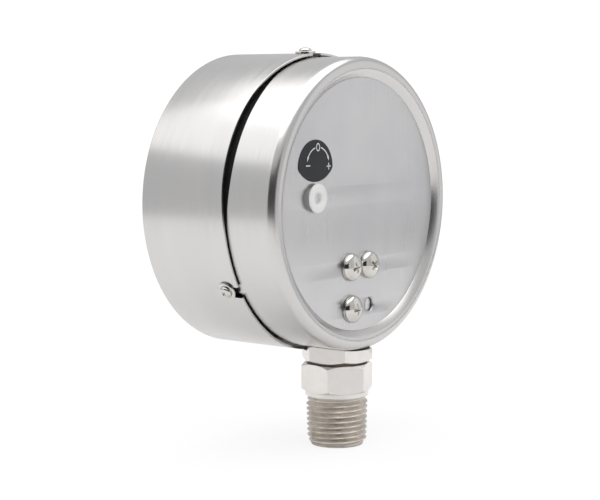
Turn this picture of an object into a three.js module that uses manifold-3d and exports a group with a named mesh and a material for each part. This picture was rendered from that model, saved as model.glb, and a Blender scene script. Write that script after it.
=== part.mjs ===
// Pressure switch: a 100 mm stainless Bourdon-tube gauge with two adjustable switch contacts.
// Millimetres, +Z up. The origin is the centre of the process thread's lower end.
// The dial faces -Y, the back is +Y, and the electrical receptacle is on the -X side.
import * as THREE from 'three';
import { mergeVertices } from 'three/addons/utils/BufferGeometryUtils.js';
import Module from 'manifold-3d';

const wasm = await Module();
wasm.setup();

// ---------- driving dimensions ----------
const CASE_CENTRE_Z = 83.2;
const GAP = 0.3;
const RUNNING = 0.12;

const HOUSING_R = 51;
const HOUSING_IN_R = 50.2;
const HOUSING_FRONT_Y = -43.1;
const HOUSING_EDGE_Y = -7.15;
const HOUSING_SCALLOP = 1.35;
const LIP_R = 44;
const LIP_THICK = 1.2;

const CASE_R = 49.65;
const CASE_IN_R = 48.75;
const CASE_EDGE_Y = -7.8;
const CASE_SCALLOP = 1.77;
const CASE_REAR_Y = 12.2;
const RIM_ROUND = 3;
const SCREW_COUNT = 3;
const SCREW_Y = -12.4;
const SCREW_TURN = 1.6;
const SLOT_TURN = 2.1;
const TONGUE_TURN = 1.8;
const SLOT_HALF = 2.15;
const TONGUE_HALF = 1.7;
const TONGUE_TIP_Y = -9.7;
const NECK_R = 7;
const NECK_SLOT_HALF = 7.3;

const DISC_R = 42.65;
const DISC_BACK_Y = 10.3;
const DISC_THICK = 1.2;
const BACK_SCREWS = [[6.3, -20.8], [-3.9, -20.8], [5.8, -35]];
const SPARE_HOLE = [-5.4, -34.6];
const BACK_SCREW_HEAD_R = 4.75;
const SEAT = 0.04;
const PLUG_AT = [26, 3.6];

const RING_R = 48.6;
const RING_IN_R = 46.8;
const RING_FRONT_Y = -15.3;
const RING_BACK_Y = -3.2;

const HEX_R = 12.7;
const NUT_TURN = 41;
const FITTING_TURN = 8;
const NUT_BOTTOM_Z = -54;
const FITTING_TOP_Z = -54.8;
const FITTING_HEX_Z = -64.5;
const THREAD_TOP_Z = -66.3;
const THREAD_R = 10.67;
const THREAD_END_R = 10.15;
const THREAD_PITCH = 1.814;
const THREAD_DEPTH = 1.35;
const FITTING_BORE_R = 2.5;

const BLOCK_HALF = 9;
const BLOCK_FRONT_Y = -2;
const BLOCK_BACK_Y = 8.8;
const BLOCK_BOTTOM_Z = -46.5;
const BLOCK_TOP_Z = -17;

const TUBE_R = 36.5;
const TUBE_Y = 2.6;
const TUBE_WIDTH = 9;
const TUBE_THICK = 3.6;
const TUBE_START = 259;
const TUBE_END = -10;

const MODULE = 0.5;
const PINION_TEETH = 10;
const SECTOR_TEETH = 70;
const PINION_PITCH_R = MODULE * PINION_TEETH / 2;
const SECTOR_PITCH_R = MODULE * SECTOR_TEETH / 2;
const SECTOR_PIVOT = [8.5, -18.1];
const TAIL_R = 6;
const TIP_PIN = [33, -9.2];
const PLATE_BACK_Y = -2.3;
const PLATE_THICK = 1.1;
const PLATE_FRONT_Y = -12.2;
const SECTOR_Y = -7.2;
const LINK_Y = -9.2;
const PILLARS = [[-9, -21], [15, 3], [-7, 6]];

const DIAL_R = 46.5;
const DIAL_BACK_Y = -15.6;
const DIAL_THICK = 0.8;
const ZERO_ANGLE = 225;
const POINTER_Y = -18.8;
const MOVING_ARM_Y = -21.4;
const LOW_ARM_Y = -24;
const HIGH_ARM_Y = -26.6;
const BRIDGE_Y = -30;
const BRIDGE_ENDS = [[0, 42.5], [0, -42.5]];
const DIAL_SCREWS = [[-6, -14], [10, -6]];
const SPINDLE_R = 2;
const LOW_SET_ANGLE = 160;
const HIGH_SET_ANGLE = 40;

const WINDOW_R = 49.3;
const WINDOW_BACK_Y = -36.7;
const WINDOW_FRONT_Y = -40.7;

const CONNECTOR_Y = -25;
const CONNECTOR_R = 6;
const CONNECTOR_BORE_R = 4.6;
const CONNECTOR_SHANK_R = 6.6;
const CONNECTOR_TIP_X = -68;

const ROUND = 48;
const MEDIUM = 32;
const SMALL = 16;
const TINY = 10;

// ---------- materials ----------
function metal(color, roughness) {
  return new THREE.MeshStandardMaterial({ color, roughness, metalness: 1 });
}

function plain(color, roughness) {
  return new THREE.MeshStandardMaterial({ color, roughness, metalness: 0 });
}

const steel = () => metal(0xc4c4c4, 0.3);
const nickel = () => metal(0xd8d6d0, 0.15);
const brass = () => metal(0xc9a759, 0.35);
const black = () => plain(0x17181a, 0.6);

// ---------- solids ----------
function radians(degrees) {
  return degrees * Math.PI / 180;
}

function polar(radius, degrees) {
  return [radius * Math.cos(radians(degrees)), radius * Math.sin(radians(degrees))];
}

function toManifold(geometry) {
  const bare = geometry.clone();
  bare.deleteAttribute('normal');
  bare.deleteAttribute('uv');
  const merged = mergeVertices(bare, 1e-5);
  const place = merged.getAttribute('position');
  const corners = merged.index.array;
  const kept = [];
  let volume = 0;
  for (let i = 0; i < corners.length; i += 3) {
    const [a, b, c] = [corners[i], corners[i + 1], corners[i + 2]];
    if (a === b || b === c || a === c) continue;
    kept.push(a, b, c);
    const [p, q, r] = [a, b, c].map((k) => new THREE.Vector3().fromBufferAttribute(place, k));
    volume += p.dot(q.cross(r));
  }
  if (volume < 0) kept.reverse();
  return new wasm.Manifold(new wasm.Mesh({
    numProp: 3,
    vertProperties: new Float32Array(place.array),
    triVerts: new Uint32Array(kept),
  }));
}

function toGeometry(manifold) {
  const mesh = manifold.getMesh();
  const geometry = new THREE.BufferGeometry();
  geometry.setAttribute('position', new THREE.BufferAttribute(new Float32Array(mesh.vertProperties), 3));
  geometry.setIndex(Array.from(mesh.triVerts));
  geometry.computeVertexNormals();
  return geometry;
}

// A profile of [radius, along] points turned about the Y axis. It closes on itself or runs axis to axis.
function turned(profile, segments = MEDIUM) {
  const points = profile.map(([r, y]) => new THREE.Vector2(r, y));
  const onAxis = profile[0][0] === 0 && profile[profile.length - 1][0] === 0;
  if (!onAxis) points.push(points[0].clone());
  return new THREE.LatheGeometry(points, segments);
}

function ring(innerR, outerR, y0, y1, segments = MEDIUM) {
  return turned([[innerR, y0], [outerR, y0], [outerR, y1], [innerR, y1]], segments);
}

function rod(radius, y0, y1, segments = SMALL) {
  return turned([[0, y0], [radius, y0], [radius, y1], [0, y1]], segments);
}

const alongZ = (geometry) => geometry.rotateX(Math.PI / 2);
const alongX = (geometry) => geometry.rotateZ(-Math.PI / 2);

function box(x0, x1, y0, y1, z0, z1) {
  const geometry = new THREE.BoxGeometry(x1 - x0, y1 - y0, z1 - z0);
  return geometry.translate((x0 + x1) / 2, (y0 + y1) / 2, (z0 + z1) / 2);
}

function shapeOf(points) {
  return new THREE.Shape(points.map(([x, y]) => new THREE.Vector2(x, y)));
}

function prism(shape, depth) {
  return new THREE.ExtrudeGeometry(shape, { depth, bevelEnabled: false, curveSegments: 5 });
}

// An outline in the dial's plane (x to the right, z up), from backY forward by its thickness.
function sheet(shape, backY, thick) {
  return prism(shape, thick).rotateX(Math.PI / 2).translate(0, backY, 0);
}

function joined(first, ...others) {
  return toGeometry(others.reduce((sum, g) => sum.add(toManifold(g)), toManifold(first)));
}

function cut(base, ...tools) {
  return toGeometry(tools.reduce((sum, g) => sum.subtract(toManifold(g)), toManifold(base)));
}

function common(first, second) {
  return toGeometry(toManifold(first).intersect(toManifold(second)));
}

// The outline round a row of circles of one radius, walked counter-clockwise.
function roundedOutline(corners, radius) {
  const shape = new THREE.Shape();
  const count = corners.length;
  const normalAngle = (from, to) => Math.atan2(-(to[0] - from[0]), to[1] - from[1]);
  for (let i = 0; i < count; i += 1) {
    const before = corners[(i + count - 1) % count];
    const here = corners[i];
    const after = corners[(i + 1) % count];
    shape.absarc(here[0], here[1], radius, normalAngle(before, here), normalAngle(here, after), false);
  }
  return shape;
}

function slotOutline(halfWidth, y0, y1) {
  const shape = new THREE.Shape();
  shape.moveTo(halfWidth, y1);
  shape.lineTo(-halfWidth, y1);
  shape.lineTo(-halfWidth, y0);
  shape.absarc(0, y0, halfWidth, Math.PI, 2 * Math.PI, false);
  return shape;
}

function hexPrism(radius, turn, z0, z1) {
  const corners = Array.from({ length: 6 }, (_, k) => {
    const angle = radians(-turn - 60 * k);
    return [-Math.sin(angle) * radius, Math.cos(angle) * radius];
  });
  return prism(shapeOf(corners.reverse()), z1 - z0).translate(0, 0, z0);
}

// A hexagon with its corners turned off at both ends.
function chamferedHex(radius, turn, z0, z1, chamfer) {
  const faceR = radius * 0.89;
  const profile = [[0, z0], [faceR, z0], [radius, z0 + chamfer], [radius, z1 - chamfer], [faceR, z1], [0, z1]];
  return common(hexPrism(radius, turn, z0, z1), alongZ(turned(profile, MEDIUM)));
}

function crossRecess(width, armHalf, y0, y1) {
  return joined(box(-width, width, y0, y1, -armHalf, armHalf), box(-armHalf, armHalf, y0, y1, -width, width));
}

// A pan head on a plain shank, head towards +Y from y = 0.
function panScrew(headR, headHeight, shankR, shankLength, recess) {
  const body = turned([
    [0, -shankLength],
    [shankR, -shankLength],
    [shankR, 0],
    [headR, 0],
    [headR, headHeight * 0.35],
    [headR * 0.86, headHeight * 0.78],
    [headR * 0.5, headHeight],
    [0, headHeight],
  ], SMALL);
  return cut(body, crossRecess(recess, recess * 0.26, headHeight * 0.45, headHeight + 1));
}

// A flat cheese head with one slot, head towards -Y from y = 0.
function slotScrew(headR, headHeight, shankR, shankLength) {
  const body = turned([[0, -headHeight], [headR, -headHeight], [headR, 0], [shankR, 0], [shankR, shankLength],
    [0, shankLength]], TINY);
  return cut(body, box(-headR - 1, headR + 1, -headHeight - 1, -headHeight * 0.5, -0.25, 0.25));
}

const model = new THREE.Group();
const caseGroup = new THREE.Group();
caseGroup.position.z = CASE_CENTRE_Z;
model.add(caseGroup);

function part(parent, name, geometry, material) {
  const mesh = new THREE.Mesh(geometry, material);
  mesh.name = name;
  parent.add(mesh);
  return mesh;
}

// ---------- case shells ----------
// The facing edges of the two shells wave apart between the three cover screws.
function scallop(x, z) {
  const wave = (1 - Math.cos(SCREW_COUNT * Math.atan2(x, z))) / 2;
  return wave * wave * (3 - 2 * wave);
}

function waveEdge(geometry, edgeY, amplitude) {
  const place = geometry.getAttribute('position');
  for (let i = 0; i < place.count; i += 1) {
    if (Math.abs(place.getY(i) - edgeY) > 0.01) continue;
    place.setY(i, edgeY + amplitude * scallop(place.getX(i), place.getZ(i)));
  }
  return geometry;
}

function aroundScrews(turn, makeTool) {
  const angles = Array.from({ length: SCREW_COUNT }, (_, k) => turn + k * 360 / SCREW_COUNT);
  return angles.map((angle) => makeTool().rotateY(radians(angle)));
}

function radialPlate(outline, z0, z1) {
  return prism(outline, z1 - z0).translate(0, 0, z0);
}

function rearCase() {
  const crest = CASE_R - RIM_ROUND;
  const corner = [30, 60, 90].map((angle) => {
    const [dr, dy] = polar(RIM_ROUND, angle);
    return [crest + dr, CASE_REAR_Y - RIM_ROUND + dy];
  });
  const rimR = DISC_R + GAP;
  const ledgeY = DISC_BACK_Y - DISC_THICK - GAP;
  const shell = turned([
    [CASE_IN_R, CASE_EDGE_Y],
    [CASE_R, CASE_EDGE_Y],
    [CASE_R, CASE_REAR_Y - RIM_ROUND],
    ...corner,
    [45.2, CASE_REAR_Y - 0.15],
    [44.8, CASE_REAR_Y - 0.45],
    [rimR, DISC_BACK_Y],
    [rimR, ledgeY],
    [rimR - 1.6, ledgeY],
    [rimR - 1.6, ledgeY - 1.2],
    [CASE_IN_R - 2, ledgeY - 1.2],
    [CASE_IN_R, ledgeY - 3.2],
  ], ROUND);
  const tongues = aroundScrews(TONGUE_TURN, () => radialPlate(
    slotOutline(TONGUE_HALF, TONGUE_TIP_Y + TONGUE_HALF, CASE_EDGE_Y + 2), CASE_IN_R, CASE_R - 0.05));
  const neckSlot = radialPlate(slotOutline(NECK_SLOT_HALF, 0, 12), -52, -44).rotateZ(Math.PI);
  return cut(joined(waveEdge(shell, CASE_EDGE_Y, CASE_SCALLOP), ...tongues), neckSlot);
}

function frontHousing() {
  const shell = turned([
    [HOUSING_IN_R, HOUSING_EDGE_Y],
    [HOUSING_R, HOUSING_EDGE_Y],
    [HOUSING_R, HOUSING_FRONT_Y + 0.4],
    [HOUSING_R - 0.4, HOUSING_FRONT_Y],
    [LIP_R, HOUSING_FRONT_Y],
    [LIP_R, HOUSING_FRONT_Y + LIP_THICK],
    [HOUSING_IN_R, HOUSING_FRONT_Y + LIP_THICK],
  ], ROUND);
  const slots = aroundScrews(SLOT_TURN, () => radialPlate(slotOutline(SLOT_HALF, SCREW_Y, 0), 48, 53));
  const socket = alongX(rod(CONNECTOR_SHANK_R + 0.4, -54, -46)).translate(0, CONNECTOR_Y, 0);
  return cut(waveEdge(shell, HOUSING_EDGE_Y, -HOUSING_SCALLOP), ...slots, socket);
}

function innerRing() {
  const band = ring(RING_IN_R, RING_R, RING_FRONT_Y, RING_BACK_Y, ROUND);
  const pads = aroundScrews(SCREW_TURN, () => box(-4, 4, RING_FRONT_Y, -10, 44.8, 49.3));
  const threads = aroundScrews(SCREW_TURN, () => alongZ(rod(1.65, 43, 51, TINY)).translate(0, SCREW_Y, 0));
  const neckNotch = box(-NECK_SLOT_HALF, NECK_SLOT_HALF, -NECK_SLOT_HALF, 0, -52, -44);
  return cut(joined(band, ...pads), ...threads, neckNotch);
}

function backPlate() {
  const at = ([x, z], radius) => rod(radius, 5, 14).translate(x, 0, z);
  const holes = [...BACK_SCREWS.map((place) => at(place, 2.3)), at(SPARE_HOLE, 2.4), at(PLUG_AT, 3.1)];
  const countersink = turned([[0, DISC_BACK_Y - 0.6], [2.3, DISC_BACK_Y - 0.6], [3.15, DISC_BACK_Y + 0.1],
    [0, DISC_BACK_Y + 0.1]], 24).translate(SPARE_HOLE[0], 0, SPARE_HOLE[1]);
  return cut(rod(DISC_R, DISC_BACK_Y - DISC_THICK, DISC_BACK_Y, ROUND), countersink, ...holes);
}

part(caseGroup, 'rear_case', rearCase(), steel());
part(caseGroup, 'front_housing', frontHousing(), steel());
part(caseGroup, 'inner_ring', innerRing(), black());
part(caseGroup, 'back_plate', backPlate(), steel());

for (let k = 0; k < SCREW_COUNT; k += 1) {
  const place = new THREE.Group();
  place.rotation.y = radians(SCREW_TURN + k * 360 / SCREW_COUNT);
  caseGroup.add(place);
  const washer = part(place, `cover_washer_${k + 1}`, alongZ(ring(1.7, 3.5, 0, 0.6, SMALL)), nickel());
  washer.position.set(0, SCREW_Y, HOUSING_R + SEAT);
  const screw = part(place, `cover_screw_${k + 1}`, alongZ(panScrew(2.2, 1.3, 1.35, 6, 1.2)), nickel());
  screw.position.set(0, SCREW_Y, HOUSING_R + 2 * SEAT + 0.6);
}

// ---------- back panel ----------
BACK_SCREWS.forEach(([x, z], k) => {
  const screw = part(caseGroup, `back_screw_${k + 1}`, panScrew(BACK_SCREW_HEAD_R, 3, 2, 6, 2.2), nickel());
  screw.position.set(x, DISC_BACK_Y + SEAT, z);
});

function labelOutline() {
  const halfWidth = 9.05;
  const shape = new THREE.Shape();
  shape.moveTo(halfWidth, 13.2);
  shape.absarc(0, 13.5, halfWidth, 0, Math.PI, false);
  shape.lineTo(-halfWidth, 13.2);
  shape.quadraticCurveTo(0, 4.6, halfWidth, 13.2);
  return shape;
}

const label = sheet(labelOutline(), 0.2, 0.2);
part(caseGroup, 'adjustment_label', label, plain(0x37383c, 0.7)).position.set(25.6, DISC_BACK_Y + 0.05, 0);

const plugProfile = [
  [0, -2.2], [2.6, -2.2], [2.8, 0.06], [3.3, 0.06], [3.3, 1.2], [4.8, 1.2], [4.8, 1.6], [4.65, 1.75], [0, 1.75],
];
const plug = cut(turned(plugProfile, 24), rod(1.9, 0.2, 3));
part(caseGroup, 'zero_plug', plug, plain(0xe9e9e6, 0.5)).position.set(PLUG_AT[0], DISC_BACK_Y, PLUG_AT[1]);

// ---------- stem ----------
function socketBlock() {
  const block = box(-BLOCK_HALF, BLOCK_HALF, BLOCK_FRONT_Y, BLOCK_BACK_Y - 4, BLOCK_BOTTOM_Z, BLOCK_TOP_Z);
  const pad = box(-BLOCK_HALF, BLOCK_HALF, BLOCK_BACK_Y - 5, BLOCK_BACK_Y, BLOCK_BOTTOM_Z + 7, BLOCK_TOP_Z);
  const neck = alongZ(rod(NECK_R, -61, BLOCK_BOTTOM_Z + 4, 32));
  const bore = alongZ(rod(1.6, -62, -34.5, TINY));
  const crossBore = alongX(rod(1.1, -8, 0, TINY)).translate(0, 1.2, -35.8);
  const pocket = box(-10, -6.5, -3, 7.7, -38.8, -32.4);
  const rearHoles = BACK_SCREWS.map(([x, z]) => rod(2.3, 3.5, 10, TINY).translate(x, 0, z));
  const frontHoles = [-5, 5].map((x) => rod(1.3, -3, 3, TINY).translate(x, 0, -26));
  return cut(joined(block, pad, neck), bore, crossBore, pocket, ...rearHoles, ...frontHoles);
}

function lockNut() {
  const nut = chamferedHex(HEX_R, NUT_TURN, -47.6, NUT_BOTTOM_Z, 0.7);
  return cut(nut, rod(CASE_R + 0.15, -20, 20, ROUND), rod(HOUSING_R + 0.15, -20, -5.2, ROUND),
    alongZ(rod(NECK_SLOT_HALF, -60, -40, 32)));
}

function processFitting() {
  const profile = [[0, FITTING_HEX_Z + 0.5], [HEX_R - 1.8, FITTING_HEX_Z + 0.5], [HEX_R - 1.8, THREAD_TOP_Z]];
  const turns = Math.floor((THREAD_TOP_Z + CASE_CENTRE_Z - 1) / THREAD_PITCH);
  for (let k = 0; k < turns; k += 1) {
    const z = THREAD_TOP_Z - THREAD_PITCH * k;
    const crest = THREAD_R + (THREAD_END_R - THREAD_R) * k / turns;
    profile.push([crest - THREAD_DEPTH, z - THREAD_PITCH * 0.4]);
    profile.push([crest, z - THREAD_PITCH * 0.9]);
  }
  profile.push([THREAD_END_R - THREAD_DEPTH, -CASE_CENTRE_Z], [0, -CASE_CENTRE_Z]);
  const threaded = alongZ(turned(profile, 24));
  const hex = chamferedHex(HEX_R, FITTING_TURN, FITTING_HEX_Z, FITTING_TOP_Z, 0.9);
  return cut(joined(hex, threaded), alongZ(rod(NECK_SLOT_HALF, -61.6, -50, 32)),
    alongZ(rod(FITTING_BORE_R, -90, -60, SMALL)));
}

part(caseGroup, 'socket_block', socketBlock(), steel());
part(caseGroup, 'lock_nut', lockNut(), steel());
part(caseGroup, 'neck_seal', alongZ(ring(NECK_SLOT_HALF, 10.4, NUT_BOTTOM_Z - 0.7, NUT_BOTTOM_Z - 0.1, 32)),
  plain(0x6b5a4c, 0.7));
part(caseGroup, 'process_fitting', processFitting(), steel());

const restrictor = cut(rod(FITTING_BORE_R - 0.2, 0, 4), rod(0.4, -1, 5, 8), box(-3, 3, -1, 0.8, -0.4, 0.4));
part(caseGroup, 'restrictor_screw', alongZ(restrictor), steel()).position.z = 2.6 - CASE_CENTRE_Z;

// ---------- pressure element ----------
class TubeArc extends THREE.Curve {
  getPoint(t) {
    const [x, z] = polar(TUBE_R, TUBE_START + (TUBE_END - TUBE_START) * t);
    return new THREE.Vector3(x, TUBE_Y, z);
  }
}

function flatOval(alongNormal, alongBinormal) {
  return Array.from({ length: 8 }, (_, k) => {
    const angle = radians(22.5 + 45 * k);
    return [alongNormal * Math.cos(angle) * 1.04, alongBinormal * Math.sin(angle) * 1.04];
  });
}

function bourdonTube() {
  const wall = 0.5;
  const section = shapeOf(flatOval(TUBE_WIDTH / 2, TUBE_THICK / 2));
  section.holes.push(new THREE.Path(
    flatOval(TUBE_WIDTH / 2 - wall, TUBE_THICK / 2 - wall).reverse().map(([x, y]) => new THREE.Vector2(x, y))));
  return new THREE.ExtrudeGeometry(section, { steps: 18, bevelEnabled: false, extrudePath: new TubeArc() });
}

function tubeEndPiece() {
  const cap = box(TUBE_R - 3, TUBE_R + 2.2, TUBE_Y - 4.8, TUBE_Y + 4.8, -5.2, -0.4).rotateY(radians(-TUBE_END));
  const lug = roundedOutline([TIP_PIN, polar(TUBE_R - 1, TUBE_END - 4)], 1.8);
  return joined(cap, sheet(lug, TUBE_Y - 2, 6), rod(0.8, LINK_Y - 1.3, 0, TINY).translate(TIP_PIN[0], 0, TIP_PIN[1]));
}

part(caseGroup, 'bourdon_tube', bourdonTube(), brass());
part(caseGroup, 'tube_end_piece', tubeEndPiece(), steel());

// ---------- movement ----------
const tailRest = -72.5;
const tailPin = polar(TAIL_R, tailRest).map((value, axis) => value + SECTOR_PIVOT[axis]);

function gearTooth(pitchR, centre, rootR, tipR, halfPitch) {
  const point = (radius, part) => polar(radius, centre + part * halfPitch);
  return [point(rootR, -0.52), point(pitchR, -0.36), point(tipR, -0.14), point(tipR, 0.14), point(pitchR, 0.36),
    point(rootR, 0.52)];
}

function pinionArbor() {
  const step = 360 / PINION_TEETH;
  const contact = 115.2;
  const outline = [];
  for (let k = 0; k < PINION_TEETH; k += 1) {
    const centre = contact + 180 + step / 2 + k * step;
    outline.push(...gearTooth(PINION_PITCH_R, centre, PINION_PITCH_R - 0.62, PINION_PITCH_R + 0.42, step / 2));
  }
  const teeth = sheet(shapeOf(outline), SECTOR_Y + 1.4, 4);
  return joined(teeth, rod(1, -20.2, -1.2, TINY));
}

function sectorGear() {
  const step = 360 / SECTOR_TEETH;
  const contact = 115.2;
  const first = -2;
  const last = 8;
  const outline = [polar(3.2, contact - last * step)];
  for (let k = last; k >= first; k -= 1) {
    const centre = contact - k * step;
    outline.push(...gearTooth(SECTOR_PITCH_R, centre, SECTOR_PITCH_R - 0.62, SECTOR_PITCH_R + 0.38, step / 2));
  }
  outline.push(polar(3.2, contact - first * step));
  const blank = sheet(shapeOf(outline), SECTOR_Y, 1.2);
  const hub = rod(3.4, SECTOR_Y - 1.2, SECTOR_Y);
  const tail = sheet(roundedOutline([[0, 0], polar(TAIL_R, tailRest)], 1.8), SECTOR_Y, 1.2);
  const shaft = rod(1, -13.6, BLOCK_FRONT_Y - GAP, TINY);
  const [px, pz] = polar(TAIL_R, tailRest);
  const pin = rod(0.8, LINK_Y - 1.3, SECTOR_Y - 0.5, TINY).translate(px, 0, pz);
  return joined(blank, hub, tail, shaft, pin).translate(SECTOR_PIVOT[0], 0, SECTOR_PIVOT[1]);
}

function linkBar() {
  const bar = sheet(roundedOutline([tailPin, TIP_PIN], 2), LINK_Y, 1);
  const hole = ([x, z], radius) => rod(radius, LINK_Y - 3, LINK_Y + 2, SMALL).translate(x, 0, z);
  return cut(bar, hole(tailPin, 0.95), hole(TIP_PIN, 1.3));
}

function shaftHoles(radius, y0, y1) {
  return [[0, 0], SECTOR_PIVOT].map(([x, z]) => rod(radius, y0, y1, SMALL).translate(x, 0, z));
}

function movementBackPlate() {
  const plate = sheet(roundedOutline([[-8, -29], [8, -29], [15, 3], [-8, 6]], 3), PLATE_BACK_Y, PLATE_THICK);
  const arm = sheet(roundedOutline([[14, 1.5], [PLUG_AT[0], PLUG_AT[1]]], 3.4), PLATE_BACK_Y, PLATE_THICK);
  const screwHoles = [-5, 5].map((x) => rod(1.6, -6, 0, TINY).translate(x, 0, -26));
  const adjuster = rod(1.7, -6, 0, SMALL).translate(PLUG_AT[0], 0, PLUG_AT[1]);
  return cut(joined(plate, arm), ...shaftHoles(1 + RUNNING, -6, 0), ...screwHoles, adjuster);
}

function movementFrontPlate() {
  const plate = sheet(roundedOutline([[-9, -21], [8.5, -21], [15, 3], [-7, 6]], 3), PLATE_FRONT_Y, PLATE_THICK);
  const dialHoles = DIAL_SCREWS.map(([x, z]) => rod(1, -16, -10, TINY).translate(x, 0, z));
  return cut(plate, ...shaftHoles(1 + RUNNING, -16, -10), ...dialHoles);
}

part(caseGroup, 'sector_gear', sectorGear(), brass());
part(caseGroup, 'pinion_arbor', pinionArbor(), steel());
part(caseGroup, 'link', linkBar(), steel());
part(caseGroup, 'movement_back_plate', movementBackPlate(), brass());
part(caseGroup, 'movement_front_plate', movementFrontPlate(), brass());
PILLARS.forEach(([x, z], k) => {
  const pillar = rod(1.9, PLATE_FRONT_Y + 0.1, PLATE_BACK_Y - PLATE_THICK - 0.1, TINY);
  part(caseGroup, `pillar_${k + 1}`, pillar, brass()).position.set(x, 0, z);
});
[-5, 5].forEach((x, k) => {
  const screw = slotScrew(2.3, 1.3, 1.1, 4);
  const seat = PLATE_BACK_Y - PLATE_THICK - 0.1;
  part(caseGroup, `movement_screw_${k + 1}`, screw, steel()).position.set(x, seat, -26);
});

function hairspring() {
  const turns = 3;
  const count = 48;
  const edge = (offset) => Array.from({ length: count + 1 }, (_, k) => {
    return polar(1.9 + 3.3 * k / count + offset, 360 * turns * k / count);
  });
  return sheet(shapeOf([...edge(0.12), ...edge(-0.12).reverse()]), -10.2, 0.8);
}

part(caseGroup, 'hairspring', hairspring(), brass());

const zeroScrew = cut(turned([[0, -6.2], [1.55, -6.2], [1.55, 3.4], [3, 3.4], [3, 5.6], [0, 5.6]]),
  box(-4, 4, 4.6, 7, -0.5, 0.5));
part(caseGroup, 'zero_adjust_screw', zeroScrew, steel()).position.set(PLUG_AT[0], 1.2, PLUG_AT[1]);

// ---------- dial and pointer ----------
function dialPlate() {
  const holes = DIAL_SCREWS.map(([x, z]) => rod(1.2, -18, -14, TINY).translate(x, 0, z));
  const bridgeHoles = BRIDGE_ENDS.map(([x, z]) => rod(1.2, -18, -14, TINY).translate(x, 0, z));
  const front = DIAL_BACK_Y - DIAL_THICK;
  return cut(rod(DIAL_R, front, DIAL_BACK_Y, 36), rod(3, -18, -14), ...holes, ...bridgeHoles);
}

// A blade from the hub outwards along +x, to be turned to its angle.
function blade(backY, thick, hubR, length, rootHalf, tipHalf, tail) {
  const outline = shapeOf([[-tail, -rootHalf], [length, -tipHalf], [length, tipHalf], [-tail, rootHalf]]);
  return joined(rod(hubR, backY - thick, backY, 24), sheet(outline, backY, thick));
}

function turnedTo(geometry, degrees) {
  return geometry.rotateY(-radians(degrees));
}

part(caseGroup, 'dial', dialPlate(), plain(0xf4f4f0, 0.6));
DIAL_SCREWS.forEach(([x, z], k) => {
  const screw = slotScrew(1.9, 0.9, 0.8, 4.2);
  part(caseGroup, `dial_screw_${k + 1}`, screw, nickel()).position.set(x, DIAL_BACK_Y - DIAL_THICK - 0.1, z);
});

const pointer = cut(turnedTo(joined(blade(POINTER_Y, 0.7, 3.2, 37, 1.5, 0.4, 11), rod(2.4, -21, POINTER_Y, 24)),
  ZERO_ANGLE), rod(1.3, -22, -15, SMALL));
part(caseGroup, 'pointer', pointer, black());

const movingArm = cut(turnedTo(blade(MOVING_ARM_Y, 0.7, 3.2, 24, 1.3, 1.3, 5), ZERO_ANGLE),
  rod(1.3, -24, -20.5, SMALL));
part(caseGroup, 'moving_contact_arm', movingArm, brass());

// ---------- switch contacts ----------
function setArm(backY, degrees) {
  const arm = joined(blade(backY, 0.8, 5, 36, 1.6, 0.6, 8), box(20, 24, backY - 0.8, backY, -3, 3));
  return cut(turnedTo(arm, degrees), rod(SPINDLE_R + RUNNING, backY - 4, backY + 4, 24));
}

function contactBlock(frontY, degrees) {
  const stud = alongZ(rod(0.5, -3.4, 3.4, TINY)).translate(22, frontY + 0.55, 0);
  return turnedTo(joined(box(19.5, 24.5, frontY, frontY + 1.1, -2.6, 2.6), stud), degrees);
}

part(caseGroup, 'low_set_arm', setArm(LOW_ARM_Y, LOW_SET_ANGLE), plain(0x2d8a3c, 0.5));
part(caseGroup, 'high_set_arm', setArm(HIGH_ARM_Y, HIGH_SET_ANGLE), plain(0xc22a22, 0.5));
part(caseGroup, 'low_contact', contactBlock(LOW_ARM_Y + GAP, LOW_SET_ANGLE), metal(0xdddddd, 0.25));
part(caseGroup, 'high_contact', contactBlock(HIGH_ARM_Y - 2.2, HIGH_SET_ANGLE), metal(0xdddddd, 0.25));

function contactBridge() {
  const bar = sheet(roundedOutline(BRIDGE_ENDS, 3), BRIDGE_Y, 1.2);
  const legEnd = DIAL_BACK_Y - DIAL_THICK - 0.2;
  const legs = BRIDGE_ENDS.map(([x, z]) => rod(2, BRIDGE_Y, legEnd, TINY).translate(x, 0, z));
  const spindle = rod(SPINDLE_R, BRIDGE_Y - 0.5, -23.4, 24);
  const legHoles = BRIDGE_ENDS.map(([x, z]) => rod(1.1, -20, -16, TINY).translate(x, 0, z));
  return cut(joined(bar, ...legs, spindle), ...legHoles);
}

part(caseGroup, 'contact_bridge', contactBridge(), steel());
BRIDGE_ENDS.forEach(([x, z], k) => {
  const screw = slotScrew(1.9, 0.7, 0.85, 3.6).rotateX(Math.PI);
  part(caseGroup, `bridge_screw_${k + 1}`, screw, steel()).position.set(x, DIAL_BACK_Y + 0.1, z);
});

// ---------- window and adjusting key ----------
const WINDOW_HOLE_R = 4;

part(caseGroup, 'window', ring(WINDOW_HOLE_R, WINDOW_R, WINDOW_FRONT_Y, WINDOW_BACK_Y, 36), new THREE.MeshStandardMaterial({
  color: 0xeaf2f2,
  roughness: 0.05,
  metalness: 0,
  transparent: true,
  opacity: 0.3,
}));
part(caseGroup, 'window_gasket', ring(44.6, WINDOW_R, -41.7, -40.9, 36), black());
part(caseGroup, 'window_snap_ring', ring(46.2, HOUSING_IN_R - 0.2, -36.5, -35.2, 36), steel());

const bush = joined(ring(2.6, WINDOW_HOLE_R - 0.2, -41.2, -35.5, 24), ring(2.6, 5.6, -42.6, -41, 24));
part(caseGroup, 'window_bush', bush, steel());
part(caseGroup, 'key_sleeve', ring(1.6, 2.4, -43.4, -34.4, 24), brass());
const knob = cut(joined(rod(5.2, -47.4, -43.7, 24), rod(1.45, -44, -32.6)), box(-7, 7, -48, -46.6, -0.6, 0.6));
part(caseGroup, 'adjust_key', knob, black());

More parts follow.
